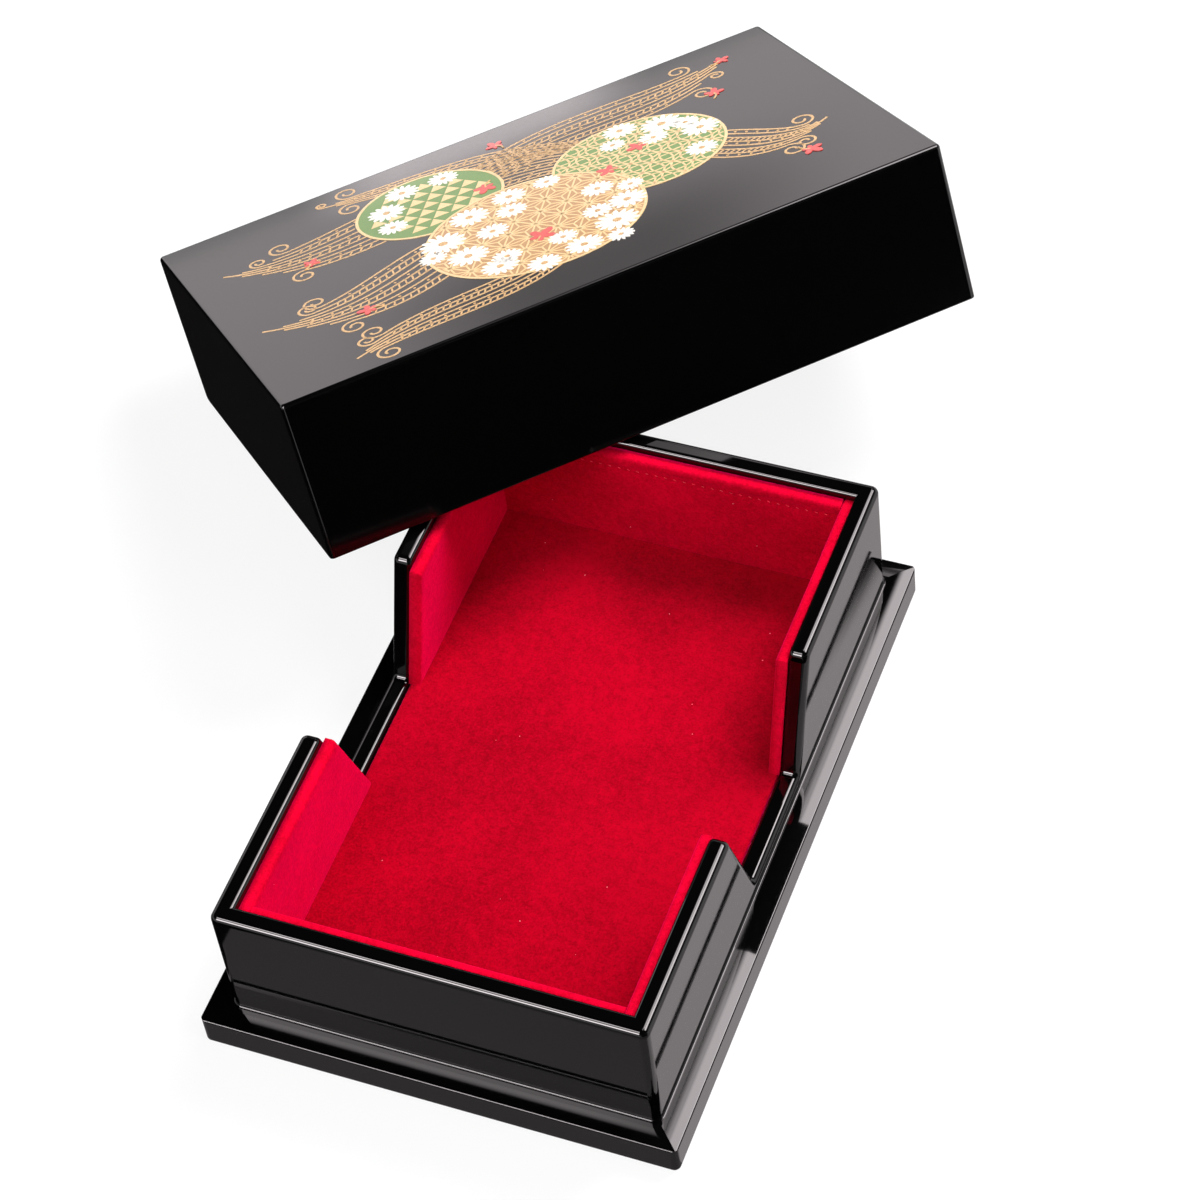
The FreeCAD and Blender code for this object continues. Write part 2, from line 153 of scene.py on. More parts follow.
def velvet(name, deep, crimson):
    """Cotton velvet, woven and cut: a dense upright pile that darkens where it is seen end on and glows
    at a slant, with nap that lies in clouds of about 28 mm and tufts of about 2.5 mm over a pile of
    0.8 mm, and a little lint."""
    material, tree = new_material(name)
    place = add(tree, "ShaderNodeTexCoord").outputs["Object"]
    clouds = add(tree, "ShaderNodeTexNoise", Vector=place, Scale=1 / (28 * MM), Detail=2.0)
    tufts = add(tree, "ShaderNodeTexNoise", Vector=place, Scale=1 / (2.5 * MM), Detail=3.0, Roughness=0.6)
    pile = add(tree, "ShaderNodeTexNoise", Vector=place, Scale=1 / (0.8 * MM), Detail=3.0, Roughness=0.7)
    lower = add(tree, "ShaderNodeMath", {"operation": "ADD"},
                _0=clouds.outputs["Fac"], _1=tufts.outputs["Fac"])
    whole = add(tree, "ShaderNodeMath", {"operation": "MULTIPLY_ADD"},
                _0=pile.outputs["Fac"], _1=PILE_SHARE, _2=lower.outputs["Value"])
    level = add(tree, "ShaderNodeMapRange", Value=whole.outputs["Value"],
                From_Min=NAP_DARKEST, From_Max=NAP_BRIGHTEST)
    shade = ramp(tree, level.outputs["Result"], [(0.1, deep), (0.9, crimson)])
    specks = add(tree, "ShaderNodeTexVoronoi", Vector=place, Scale=1 / (7 * MM))
    is_lint = add(tree, "ShaderNodeMath", {"operation": "LESS_THAN"},
                  _0=specks.outputs["Distance"], _1=LINT_RADIUS)
    colour = add(tree, "ShaderNodeMix", {"data_type": "RGBA"}, _0=is_lint.outputs["Value"],
                 _6=shade, _7=linear(VELVET_LINT))
    bump = add(tree, "ShaderNodeBump", Height=pile.outputs["Fac"], Strength=0.6, Distance=0.2 * MM)
    shader = add(tree, "ShaderNodeBsdfPrincipled", Base_Color=colour.outputs[2], Roughness=0.95,
                 Normal=bump.outputs["Normal"], Specular_IOR_Level=0.03, Sheen_Weight=1.0,
                 Sheen_Roughness=0.35, Sheen_Tint=linear(VELVET_SHEEN))
    close(tree, shader.outputs["BSDF"])
    return material


def cotton_thread():
    """Twisted red cotton thread, matt."""
    material, tree = new_material("red_cotton_thread")
    place = add(tree, "ShaderNodeTexCoord").outputs["Object"]
    twist = add(tree, "ShaderNodeTexNoise", Vector=place, Scale=1 / (0.2 * MM), Detail=2.0)
    colour = ramp(tree, twist.outputs["Fac"], [(0.3, BRIGHT_CRIMSON), (0.7, THREAD_RED)])
    shader = add(tree, "ShaderNodeBsdfPrincipled", Base_Color=colour, Roughness=0.8)
    close(tree, shader.outputs["BSDF"])
    return material


def grey_board():
    """Pressed grey board, bare: matt, with short fibres of about 1 mm."""
    material, tree = new_material("pressed_grey_board")
    place = add(tree, "ShaderNodeTexCoord").outputs["Object"]
    fibres = add(tree, "ShaderNodeTexNoise", Vector=place, Scale=1 / MM, Detail=4.0)
    colour = ramp(tree, fibres.outputs["Fac"], [(0.35, BOARD_DARK), (0.65, BOARD_PALE)])
    shader = add(tree, "ShaderNodeBsdfPrincipled", Base_Color=colour, Roughness=0.9)
    close(tree, shader.outputs["BSDF"])
    return material


def paint(name, colour, darker, metallic=0.0):
    """Lacquer paint laid on by brush under a clear coat: slightly mottled in grains of about 0.5 mm."""
    material, tree = new_material(name)
    place = add(tree, "ShaderNodeTexCoord").outputs["Object"]
    grain = add(tree, "ShaderNodeTexNoise", Vector=place, Scale=1 / (0.5 * MM), Detail=3.0)
    mottle = ramp(tree, grain.outputs["Fac"], [(0.3, darker), (0.6, colour)])
    shader = add(tree, "ShaderNodeBsdfPrincipled", Base_Color=mottle, Roughness=0.4, Metallic=metallic,
                 Coat_Weight=0.6, Coat_Roughness=0.06)
    close(tree, shader.outputs["BSDF"])
    return material


LACQUER = lacquer()
FLOOR_VELVET = velvet("cut_pile_velvet", VELVET_DEEP, VELVET_CRIMSON)
# The wall pads take the same velvet painted brighter, as painted light on the side-lit pile
WALL_VELVET_PAINTED_LIT = velvet("cut_pile_velvet_painted_brighter", WALL_DEEP_PAINTED_LIT, BRIGHT_CRIMSON)
BOARD = grey_board()
THREAD = cotton_thread()


def dress(names, material):
    """Give CAD nodes their material."""
    for name in names:
        mesh = frame["nodes"][name].data
        mesh.materials.clear()
        mesh.materials.append(material)


slots = {entry["node"]: entry["material_slot"] for entry in frame["record"]["subparts"]}
dress([n for n, s in slots.items() if s in ("black_lacquer", "decorated_lacquer")], LACQUER)
dress([n for n, s in slots.items() if s == "pad_board"], BOARD)


def new_object(name, data):
    """An object that holds the data, put into the scene."""
    made = bpy.data.objects.new(name, data)
    bpy.context.scene.collection.objects.link(made)
    return made


def mesh_object(name, bm, material):
    """Turn a bmesh into an object of one material."""
    mesh = bpy.data.meshes.new(name)
    bm.to_mesh(mesh)
    bm.free()
    mesh.materials.append(material)
    return new_object(name, mesh)


def new_piece(name, bm, material, body):
    """Turn a bmesh into a piece that rides on a body."""
    piece = mesh_object(name, bm, material)
    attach(piece, body)
    return piece


# Velvet pads: each is a fine grid laid over the pad's face, rolled back at its free edges, and wavy as
# cloth is that is glued round a board. A crease below the head of the end pads holds the stitches, which
# lean by some degrees and sway round that.
PAD_STEP = 1.5 * MM
FLOOR_ROLL = 0.9 * MM
WALL_ROLL = 1.5 * MM
FLOOR_WAVE = 0.12 * MM
END_WAVE = 0.3 * MM
SIDE_WAVE = 0.2 * MM
WAVE_LONG = 22 * MM
WAVE_SHORT = 6 * MM
CREASE_BELOW_TOP = 4.5 * MM
CREASE_DEPTH = 0.5 * MM
CREASE_HALF = 0.6 * MM
STITCH_STEP = 3.0 * MM
STITCH_LONG = 1.1 * MM
STITCH_THICK = 0.32 * MM
STITCH_FLAT = 0.8
STITCH_PROUD = 0.3
STITCH_LEAN = 18
STITCH_SWAY = 6


def spaced(length, roll):
    """Places from 0 to length, close together within the roll at each end."""
    near = [0, 0.06, 0.2, 0.4, 0.65, 1]
    inner = max(2, round((length - 2 * roll) / PAD_STEP))
    places = [roll * n for n in near]
    places += [roll + (length - 2 * roll) * i / inner for i in range(1, inner)]
    return places + [length - roll * n for n in reversed(near)]


def rolled(distance, roll):
    """How far the surface has dropped at a distance from a free edge."""
    if distance >= roll:
        return 0.0
    return roll - math.sqrt(max(0.0, roll * roll - (roll - distance) ** 2))


def velvet_pad(node, name, corner, along, up, thick, roll, free, slant=(0.0, 0.0), wave=SIDE_WAVE,
               crease=False):
    """A pad whose face starts at corner and spans the vectors along and up. free says which of the
    edges start, end, foot and head roll back, and slant shifts the face's end from foot to head."""
    length, height = along.length, up.length
    across = along.normalized()
    rise = up.normalized()
    inwards = across.cross(rise)
    columns, rows = spaced(length, roll), spaced(height, roll)
    bm = bmesh.new()
    bmesh.ops.create_grid(bm, x_segments=len(columns) - 1, y_segments=len(rows) - 1, size=0.5)
    for vert in bm.verts:
        column = round((vert.co.x + 0.5) * (len(columns) - 1))
        row = round((vert.co.y + 0.5) * (len(rows) - 1))
        u, v = columns[column], rows[row]
        drop = 0.0
        for edge, distance in (("start", u), ("end", length - u), ("foot", v), ("head", height - v)):
            if edge in free:
                drop = max(drop, rolled(distance, roll))
        inset = min(u, length - u, v, height - v) / roll
        start, end = (s * v / height for s in slant)
        place = corner + across * (start + u * (length + end - start) / length) + rise * v
        ripple = noise.noise(place / WAVE_LONG) + 0.35 * noise.noise(place / WAVE_SHORT)
        if crease:
            reach = abs(height - v - CREASE_BELOW_TOP) / CREASE_HALF
            drop += CREASE_DEPTH * math.exp(-reach * reach)
        vert.co = place + inwards * (wave * ripple * min(1.0, inset / 2) - drop)
    back = bmesh.ops.extrude_edge_only(bm, edges=[e for e in bm.edges if e.is_boundary])
    wall = corner - inwards * thick
    for vert in back["geom"]:
        if isinstance(vert, bmesh.types.BMVert):
            vert.co -= inwards * (vert.co - wall).dot(inwards)
    bmesh.ops.holes_fill(bm, edges=[e for e in bm.edges if e.is_boundary])
    bmesh.ops.recalc_face_normals(bm, faces=bm.faces)
    for face in bm.faces:
        face.smooth = True
    # The wall pads get the velvet painted brighter, as painted light
    piece = new_piece(name, bm, FLOOR_VELVET if node == "floor_velvet" else WALL_VELVET_PAINTED_LIT, "tray")
    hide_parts(node)


def stitches(name, start, run, out):
    """A row of hand stitches that holds the velvet's fold: short threads bedded in the crease."""
    count = round(run.length / STITCH_STEP)
    bm = bmesh.new()
    for i in range(1, count):
        thread = bmesh.ops.create_uvsphere(bm, u_segments=8, v_segments=6, radius=STITCH_THICK / 2)
        place = start + run * (i / count) + out * (STITCH_PROUD * STITCH_THICK)
        longer = Matrix.Diagonal((STITCH_LONG / STITCH_THICK, 1, STITCH_FLAT, 1))
        lean = Matrix.Rotation(math.radians(STITCH_LEAN + STITCH_SWAY * math.sin(5 * i)), 4, "Y")
        bmesh.ops.transform(bm, matrix=Matrix.Translation(place) @ lean @ longer, verts=thread["verts"])
    new_piece(name, bm, THREAD, "tray")


def velvet_pads():
    """The floor pad and the six wall pads, each in the place of its CAD node."""
    low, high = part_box("floor_velvet")
    velvet_pad("floor_velvet", "velvet_floor_pad", Vector((low.x, low.y, high.z)),
               Vector((high.x - low.x, 0, 0)), Vector((0, high.y - low.y, 0)), high.z - low.z,
               FLOOR_ROLL, ("start", "end", "foot", "head"), wave=FLOOR_WAVE)
    for end, sign in (("front", 1), ("back", -1)):
        low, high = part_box("lining_velvet_" + end)
        face = high.y if sign > 0 else low.y
        start = low.x if sign < 0 else high.x
        velvet_pad("lining_velvet_" + end, "velvet_pad_" + end, Vector((start, face, low.z)),
                   Vector(((low.x - high.x) * sign, 0, 0)), Vector((0, 0, high.z - low.z)),
                   high.y - low.y, WALL_ROLL, ("head",), wave=END_WAVE, crease=True)
        seam = Vector((low.x + PAD_STEP, face, high.z - CREASE_BELOW_TOP))
        stitches("velvet_seam_" + end, seam, Vector((high.x - low.x - 2 * PAD_STEP, 0, 0)),
                 Vector((0, sign, 0)))
    for side in ("left", "right"):
        for end in ("front", "back"):
            side_velvet(side, end)


def side_velvet(side, end):
    """A side pad, whose free end follows the slant of the finger notch."""
    node = "lining_velvet_%s_%s" % (side, end)
    low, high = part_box(node)
    face = high.x if side == "left" else low.x
    coords = [v.co for v in frame["nodes"][node].data.vertices]
    head = [c.y for c in coords if c.z > high.z - WALL_ROLL]
    shift = abs(max(head) - high.y if end == "front" else min(head) - low.y)
    start, stop = (low.y, high.y) if side == "left" else (high.y, low.y)
    if (end == "front") == (side == "left"):
        slant, free = (0.0, -shift), ("head", "end")
    else:
        slant, free = (shift, 0.0), ("head", "start")
    velvet_pad(node, "velvet_pad_%s_%s" % (side, end), Vector((face, start, low.z)),
               Vector((0, stop - start, 0)), Vector((0, 0, high.z - low.z)),
               high.x - low.x, WALL_ROLL, free, slant=slant)


velvet_pads()


# The lid's decoration: raised lacquer painting in thin layers, drawn flat on the lid's top with a along
# its length and b across it towards the far side, in millimetres from its middle
LAYER_SINK = 0.02
GOLD_LINE = 0.85
RING_LINE = 0.8 * GOLD_LINE
FINE_LINE = 0.7 * GOLD_LINE
RIM_WIDTH = 1.0
SAMPLE = 0.6


def lid_top():
    """The flat of the lid's top as a matrix: a, b and the outward direction, from millimetres. The
    directions come from the panel's largest faces."""
    mesh = frame["nodes"]["lid_top_panel"].data
    areas = {}
    for face in mesh.polygons:
        key = tuple(round(c, 2) for c in face.normal)
        areas[key] = areas.get(key, 0.0) + face.area
    ranked = sorted(areas, key=areas.get, reverse=True)
    out = next(Vector(n) for n in ranked if n[2] > 0.5)
    flat = [face.normal for face in mesh.polygons if (face.normal - out).length < 0.05]
    out = sum((n.copy() for n in flat), Vector()).normalized()
    across = next(Vector(n) for n in ranked if abs(Vector(n).dot(out)) < 0.1 and n[1] > 0.1)
    across = (across - out * across.dot(out)).normalized()
    along = across.cross(out)
    places = [v.co for v in mesh.vertices]
    middle = Vector()
    for way in (along, across):
        reach = [place.dot(way) for place in places]
        middle += way * (min(reach) + max(reach)) / 2
    middle += out * max(place.dot(out) for place in places)
    turn = Matrix((along, across, out)).transposed().to_4x4()
    return Matrix.Translation(middle) @ turn @ Matrix.Scale(MM, 4)


LID_TOP = lid_top()


def ribbon(bm, path, width, taper=0.0):
    """A flat band along a path of points; a taper above 0 draws it out thin at both ends."""
    last = len(path) - 1
    strip = bmesh.ops.create_grid(bm, x_segments=last, y_segments=1, size=0.5)["verts"]
    for vert in strip:
        i = round((vert.co.x + 0.5) * last)
        way = (path[min(i + 1, last)] - path[max(i - 1, 0)]).normalized()
        swell = math.sin(math.pi * min(max(i / last, 0.03), 0.97)) ** taper
        vert.co = path[i] + Vector((-way.y, way.x, 0)) * math.copysign(width * swell / 2, vert.co.y)


def blob(bm, middle, turn, reach, half_width, segments=12):
    """A flat oval whose long axis lies at an angle."""
    oval = bmesh.ops.create_circle(bm, cap_ends=True, segments=segments, radius=1.0)["verts"]
    form = Matrix.Rotation(turn, 4, "Z") @ Matrix.Diagonal((reach, half_width, 1, 1))
    bmesh.ops.transform(bm, matrix=Matrix.Translation(middle) @ form, verts=oval)


def spot(a, b):
    """A point on the lid's top."""
    return Vector((a, b, 0))


def polar(middle, radius, angle):
    """The point at a radius and an angle from a middle."""
    return middle + spot(radius * math.cos(angle), radius * math.sin(angle))


def ring(middle, radius):
    """A whole circle as a path."""
    steps = round(2 * math.pi * radius / SAMPLE)
    return [polar(middle, radius, 2 * math.pi * i / steps) for i in range(steps + 1)]


def straight(start, end):
    """A straight line as a path."""
    steps = max(1, round((end - start).length / SAMPLE))
    return [start.lerp(end, i / steps) for i in range(steps + 1)]


def kept(path, allowed):
    """The runs of a path that lie where the painting allows them."""
    runs, run = [], []
    for point in path:
        if allowed(point):
            run.append(point)
        elif run:
            runs.append(run)
            run = []
    runs.append(run)
    return [r for r in runs if len(r) > 1]


def layer(name, bm, height, material):
    """Give a flat painted layer its height above the lid's top in millimetres, and lay it on the lid."""
    for vert in bm.verts:
        vert.co.z = height
    top = bmesh.ops.extrude_face_region(bm, geom=bm.faces[:])["geom"]
    for vert in top:
        if isinstance(vert, bmesh.types.BMVert):
            vert.co.z = -LAYER_SINK
    bmesh.ops.recalc_face_normals(bm, faces=bm.faces)
    bmesh.ops.transform(bm, matrix=LID_TOP, verts=bm.verts)
    new_piece(name, bm, material, "lid")


# Three overlapping roundels, each with a middle, a radius and a traditional ground pattern
HEMP_ROUNDEL = (spot(-6, -16), 35)
RING_ROUNDEL = (spot(38, 6), 28)
SCALE_ROUNDEL = (spot(-26, 30), 24)
HEMP_CELL = 9.0
RING_CELL = 5.2
RING_RADIUS = 0.97 * math.sqrt(2) * RING_CELL
SCALE_CELL = 6.0
SCALE_RADIUS = 0.52 * SCALE_CELL
SCALE_MARGIN = 0.6 * SCALE_CELL


def within(roundel, margin):
    """Allowed inside this roundel, short of its edge by a margin."""
    middle, radius = roundel
    return lambda point: (point - middle).length < radius - margin


def free_of(*roundels):
    """Allowed where none of these roundels lies."""
    return lambda point: all((point - middle).length > radius for middle, radius in roundels)


def hemp_leaf(bm):
    """Hemp-leaf lattice: a triangular net whose triangles each hold a three-armed star."""
    middle, radius = HEMP_ROUNDEL
    allowed = within(HEMP_ROUNDEL, RIM_WIDTH / 2)
    rise = HEMP_CELL * math.sqrt(3) / 2
    count = int(radius / rise) + 2
    for row in range(-count, count):
        for column in range(-count - 4, count + 4):
            corner = middle + spot((column + (row % 2) / 2) * HEMP_CELL, row * rise)
            right = corner + spot(HEMP_CELL, 0)
            for sign in (1, -1):
                peak = corner + spot(HEMP_CELL / 2, sign * rise)
                heart = (corner + right + peak) / 3
                for end, after in ((corner, right), (right, peak), (peak, corner)):
                    lines = kept(straight(end, heart), allowed)
                    if sign > 0:
                        lines += kept(straight(end, after), allowed)
                    for line in lines:
                        ribbon(bm, line, FINE_LINE)


def joined_rings(bm):
    """Interlocking rings, each through the middles of its four neighbours."""
    middle, radius = RING_ROUNDEL
    allowed = within(RING_ROUNDEL, RIM_WIDTH / 2)
    count = int(radius / RING_CELL) + 1
    for row in range(-count, count + 1):
        for column in range(-count, count + 1):
            if (row + column) % 2 == 0:
                heart = middle + spot(column * RING_CELL, row * RING_CELL)
                for line in kept(ring(heart, RING_RADIUS), allowed):
                    ribbon(bm, line, RING_LINE)


def scales(bm):
    """Rows of triangles that stand like a fish's scales."""
    middle, radius = SCALE_ROUNDEL
    inside, in_sight = within(SCALE_ROUNDEL, SCALE_MARGIN), free_of(HEMP_ROUNDEL)
    rise = SCALE_CELL * math.sqrt(3) / 2
    count = int(radius / rise) + 1
    for row in range(-count, count + 1):
        for column in range(-count, count + 1):
            heart = middle + spot((column + (row % 2) / 2) * SCALE_CELL, row * rise)
            if inside(heart) and in_sight(heart):
                scale = bmesh.ops.create_circle(bm, cap_ends=True, segments=3, radius=SCALE_RADIUS)
                bmesh.ops.transform(bm, matrix=Matrix.Translation(heart), verts=scale["verts"])


def chrysanthemum(white, gold, middle, radius, turn):
    """An open chrysanthemum: two rings of petals round a gold heart."""
    for shift, reach, half_long, fullness in PETAL_RINGS:
        for i in range(PETALS):
            angle = turn + 2 * math.pi * (i + shift) / PETALS
            width = fullness * math.pi * radius / PETALS
            blob(white, polar(middle, radius * reach, angle), angle, radius * half_long, width)
    blob(gold, middle, 0.0, radius * 0.16, radius * 0.16)


def maple_leaf(red, gold, middle, radius, turn):
    """A five-lobed maple leaf, its tips drawn out, with a curved stalk."""
    leaf = bmesh.ops.create_circle(red, cap_ends=True, segments=60, radius=1.0)["verts"]
    for vert in leaf:
        angle = math.atan2(vert.co.y, vert.co.x)
        lobe = 0.42 + 0.58 * abs(math.cos(2.5 * angle)) ** 1.3
        vert.co = polar(middle, radius * lobe * (0.78 + 0.22 * math.cos(angle)), angle + turn)
    foot = polar(middle, radius * 1.1, turn + math.pi)
    bend = polar(middle, radius * 0.6, turn + math.pi + 0.35)
    ribbon(gold, interpolate_bezier(middle, bend, bend, foot, 9), FINE_LINE)


# Streams of water: each is a band of lines side by side on one curve, which swells and runs out to a
# narrow tip, holds dots and rungs between some of its lines, and breaks in curls. A row gives the
# curve's start, its two handles and its end, the number of lines and the gap between them. SPREAD is the
# share of that gap at the four points of the curve. The rest counts steps along the curve: how many a
# line ends sooner than its inner neighbour, where the marks begin, how far apart they are, and how far
# before the end of a line they stop.
STREAMS = (
    (spot(8, -16), spot(-34, 14), spot(-52, -44), spot(-97, -16), 9, 3.0),
    (spot(30, 14), spot(-14, 58), spot(-56, 6), spot(-95, 36), 9, 2.9),
    (spot(2, -34), spot(-20, -62), spot(-50, -44), spot(-80, -60), 6, 2.4),
    (spot(-14, 30), spot(24, 58), spot(52, 30), spot(88, 54), 8, 2.7),
    (spot(36, -4), spot(58, 16), spot(62, -40), spot(92, -22), 8, 2.6),
    (spot(36, 16), spot(8, 60), spot(-20, 48), spot(-54, 60), 5, 2.0),
)
SPREAD = (0.7, 1.2, 1.6, 0.35)
STREAM_STEPS = 110
SHORTER_OUTWARDS = 5
FIRST_MARK = 6
MARK_STEP = 3
MARKS_END = 8
DOT_RADIUS = 0.5
CURL_TURNS = 1.3
CURL_RADIUS = 4.4
CURL_STEPS = 26
CURL_SHRINK = 0.75


def curl(end, way, side, radius):
    """A line rolled up at its end like a breaking wave."""
    heart = end + spot(-way.y, way.x) * side * radius
    begin = math.atan2(end.y - heart.y, end.x - heart.x)
    turn = side * CURL_TURNS * 2 * math.pi
    return [polar(heart, radius * (1 - CURL_SHRINK * i / CURL_STEPS), begin + turn * i / CURL_STEPS)
            for i in range(CURL_STEPS + 1)]


def stream_lines(start, handle, pull, end, lines, gap):
    """The lines of one stream, side by side on its curve."""
    ways = [handle - start, pull - start, end - handle, end - pull]
    made = []
    for k in range(lines):
        shift = (k - (lines - 1) / 2) * gap
        points = [point + Vector((-way.y, way.x, 0)).normalized() * shift * spread
                  for point, way, spread in zip((start, handle, pull, end), ways, SPREAD)]
        path = interpolate_bezier(*points, STREAM_STEPS)
        made.append(path[:STREAM_STEPS - SHORTER_OUTWARDS * abs(k - lines // 2)])
    return made


def streams(bm, allowed):
    """All streams, drawn where the painting allows them."""
    for number, row in enumerate(STREAMS):
        drawn = stream_lines(*row)
        for k, path in enumerate(drawn):
            whole = list(path)
            side = -1 if k < len(drawn) / 2 else 1
            if k in (0, 1 + number % 2, len(drawn) - 1):
                radius = CURL_RADIUS * (0.45 + 0.55 * abs(2 * k / (len(drawn) - 1) - 1))
                whole += curl(path[-1], (path[-1] - path[-2]).normalized(), side, radius)[1:]
            for run in kept(whole, allowed):
                ribbon(bm, run, GOLD_LINE)
        for k, (path, beside) in enumerate(zip(drawn, drawn[1:])):
            for i in range(FIRST_MARK, min(len(path), len(beside)) - MARKS_END, MARK_STEP):
                middle = (path[i] + beside[i]) / 2
                if k % 3 == 0 and i % (2 * MARK_STEP) == 0 and allowed(middle):
                    blob(bm, middle, 0.0, DOT_RADIUS, DOT_RADIUS, segments=8)
                elif k % 3 == 1 and allowed(path[i]) and allowed(beside[i]):
                    ribbon(bm, [path[i], beside[min(i + 2, len(beside) - 1)]], FINE_LINE)


# Blooms and leaves: place along and across the lid, radius and turn. Each of a bloom's two rings of
# petals has its turn in petals, and its reach, half the length and the fullness of its petals as shares.
PETALS = 14
PETAL_RINGS = ((0, 0.68, 0.32, 0.86 * 0.68), (0.5, 0.33, 0.14, 0.8 * 0.36))
BLOOMS = (
    (-33, -4, 7.6, 0.1), (-20, 8, 6.6, 0.5), (-30, -20, 6.8, 0.9), (-18, -9, 5.4, 0.2),
    (-5, 12, 5.8, 0.3), (14, -36, 7.2, 0.4), (0, -44, 6.2, 0.0), (22, -24, 6.4, 0.7),
    (-14, -46, 5.6, 0.3), (-25, -36, 6.2, 0.6), (12, -24, 5.0, 0.2), (52, 22, 7.0, 0.2),
    (40, 29, 5.8, 0.6), (60, 8, 6.4, 0.1), (54, -8, 5.4, 0.4), (-8, 1, 5.2, 0.6),
    (18, -8, 5.4, 0.3), (-21, -31, 5.0, 0.2), (-3, -33, 4.8, 0.5), (11, -47, 4.4, 0.1),
    (-39, -12, 4.6, 0.4), (27, -14, 4.4, 0.0), (46, 14, 5.0, 0.9), (58, 16, 4.6, 0.5),
    (34, 20, 4.4, 0.2), (-39, 36, 6.2, 0.5), (-30, 47, 5.8, 0.8), (-16, 46, 5.2, 0.1),
    (-41, 23, 5.0, 0.0), (8, 12, 4.6, 0.8),
)
LEAVES = (
    (-8, -26, 6.0, 0.6), (26, 2, 4.6, 2.4), (74, 30, 4.2, 1.2), (86, 54, 3.6, 0.3), (-66, -30, 4.2, 2.9),
    (6, 56, 4.0, 1.9), (78, -40, 4.6, 5.2), (-8, 26, 4.8, 4.1), (40, 12, 4.4, 3.3), (-70, 20, 3.6, 0.8),
)


def lid_painting():
    """All the painted layers, from the lowest up."""
    gold = paint("gold_powder_on_lacquer", GOLD_PAINT, GOLD_DARK, metallic=0.35)
    tan = paint("tan_lacquer_paint", TAN_PAINT, TAN_DARK)
    green = paint("green_lacquer_paint", GREEN_PAINT, GREEN_DARK)
    white = paint("shell_white_paint", WHITE_PAINT, WHITE_DARK)
    red = paint("vermilion_lacquer_paint", RED_PAINT, RED_DARK)
    pale = paint("pale_gold_powder", GOLD_PALE, GOLD_PAINT, metallic=0.2)
    roundels = (HEMP_ROUNDEL, RING_ROUNDEL, SCALE_ROUNDEL)

    bm = bmesh.new()
    streams(bm, free_of(*roundels))
    layer("lid_gold_streams", bm, 0.05, gold)
    for name, roundel, height, material in (("lid_scale_ground", SCALE_ROUNDEL, 0.06, green),
                                            ("lid_ring_ground", RING_ROUNDEL, 0.08, green),
                                            ("lid_hemp_ground", HEMP_ROUNDEL, 0.10, tan)):
        bm = bmesh.new()
        blob(bm, roundel[0], 0.0, roundel[1], roundel[1], segments=120)
        layer(name, bm, height, material)
    bm = bmesh.new()
    scales(bm)
    layer("lid_scale_pattern", bm, 0.09, pale)
    bm = bmesh.new()
    joined_rings(bm)
    in_sight = free_of(HEMP_ROUNDEL)
    hidden = [f for f in bm.faces if not in_sight(f.calc_center_median())]
    bmesh.ops.delete(bm, geom=hidden, context="FACES")
    layer("lid_ring_pattern", bm, 0.11, pale)
    bm = bmesh.new()
    hemp_leaf(bm)
    below = (HEMP_ROUNDEL,)
    for roundel, over in ((HEMP_ROUNDEL, ()), (RING_ROUNDEL, below), (SCALE_ROUNDEL, below)):
        for run in kept(ring(*roundel), free_of(*over)):
            ribbon(bm, run, RIM_WIDTH)
    layer("lid_hemp_pattern", bm, 0.13, pale)
    petals, hearts, leaves = bmesh.new(), bmesh.new(), bmesh.new()
    for a, b, radius, turn in BLOOMS:
        chrysanthemum(petals, hearts, spot(a, b), radius, turn)
    for a, b, radius, turn in LEAVES:
        maple_leaf(leaves, hearts, spot(a, b), radius, turn)
    layer("lid_petals", petals, 0.20, white)
    layer("lid_leaves", leaves, 0.20, red)
    layer("lid_hearts", hearts, 0.22, gold)


lid_painting()


# Camera at the photograph's place, angle and framing
CAMERA_PLACE = Vector((0.3207, -0.5903, 0.9229))
CAMERA_AIM = Vector((-0.0090, 0.0540, 0.0300))
CAMERA_ROLL = math.radians(-8.31)
CAMERA_LENS = 115.0
CAMERA_SENSOR = 36.0


def place_camera():
    """The camera at its place, aimed and rolled."""
    camera = new_object("camera", bpy.data.cameras.new("camera"))
    level = (CAMERA_AIM - CAMERA_PLACE).to_track_quat("-Z", "Y")
    camera.matrix_world = Matrix.LocRotScale(
        CAMERA_PLACE, level @ Quaternion((0, 0, 1), CAMERA_ROLL), None)
    camera.data.lens = CAMERA_LENS
    camera.data.sensor_width = CAMERA_SENSOR
    bpy.context.scene.camera = camera


# Studio: a white floor, white walls and a dark ceiling, three soft lamps, and dark and bright cards that
# only the gloss sees, as a photographer sets them round lacquer
FLOOR_HALF = 3.0
FLOOR_LIFT = 0.85
WORLD_FILL = 0.15
CEILING_BEGINS = 0.15
CEILING_IS_DARK = 0.55
CARD_HALF = 0.5
CARD_RIM = 0.0001
BOX_MIDDLE = (0, 0, 0.03)

# Lamps, aimed at the box: name, place, size and power in watts
LAMPS = (
    ("key_lamp", (0.42, 0.83, 1.25), 0.7, 37),
    ("fill_lamp", (-0.45, -0.75, 1.20), 0.9, 13),
    ("right_lamp", (1.0, -0.15, 0.85), 0.6, 8),
)

